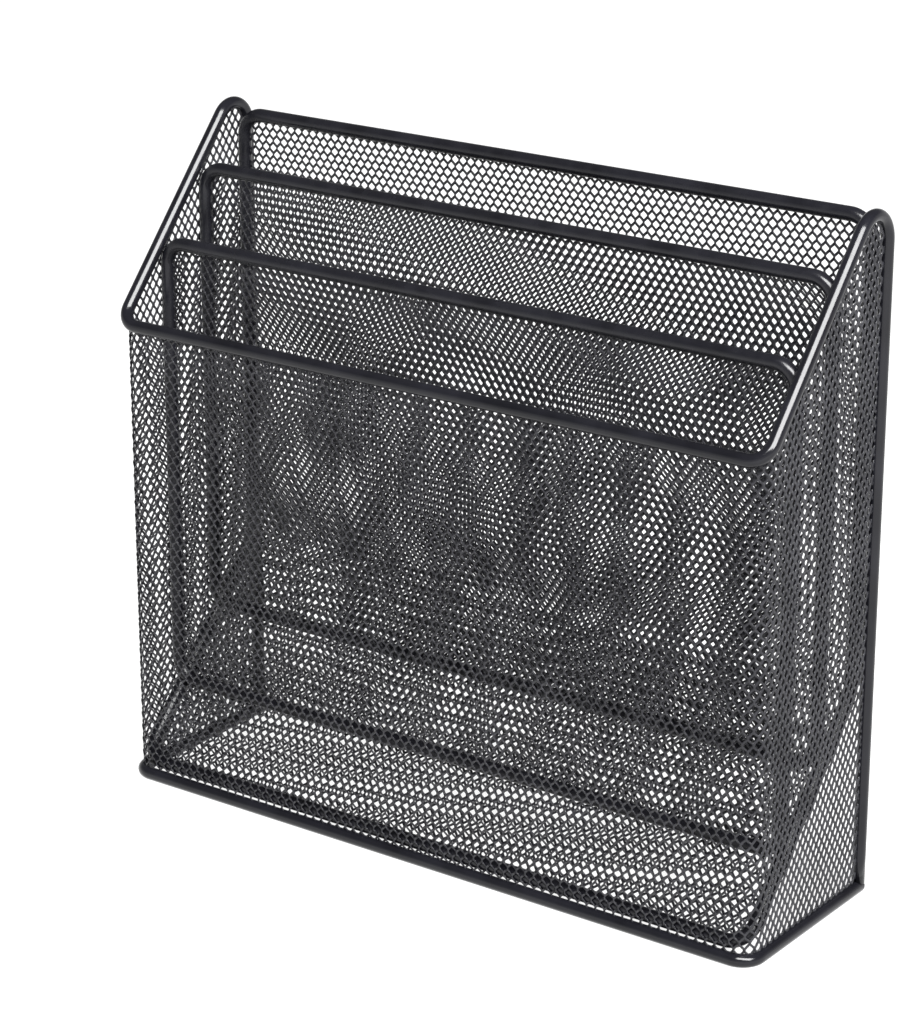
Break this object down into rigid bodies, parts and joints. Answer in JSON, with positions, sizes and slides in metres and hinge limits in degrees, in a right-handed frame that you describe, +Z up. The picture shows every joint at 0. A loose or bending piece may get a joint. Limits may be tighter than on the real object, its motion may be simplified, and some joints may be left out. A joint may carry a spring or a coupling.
{
  "type": "letter tray",
  "caption": "Upright black wire-mesh desk sorter: a tall open box with sloped side rims, a sloped floor and stepped dividers that hold letter papers and folders on edge.",
  "frame": {"origin": "on the table, under the middle of the sorter's outer box", "axes": "+Z up, +X to the right along the width as seen from the low front, +Y from the low front to the tall back"},
  "size_m": [0.3256, 0.0926, 0.2955],
  "materials": {
    "gloss_black_wire": "gloss",
    "satin_black_wire": "satin",
    "black_expanded_metal": "satin"
  },
  "bodies": {
    "root": {"base_wire": "gloss_black_wire", "rim_wire": "gloss_black_wire", "body_mesh": "black_expanded_metal", "floor_back_frame": "satin_black_wire", "floor_back_mesh": "black_expanded_metal", "front_divider_frame": "satin_black_wire", "front_divider_mesh": "black_expanded_metal", "rear_divider_frame": "satin_black_wire", "rear_divider_mesh": "black_expanded_metal"}
  },
  "joints": []
}
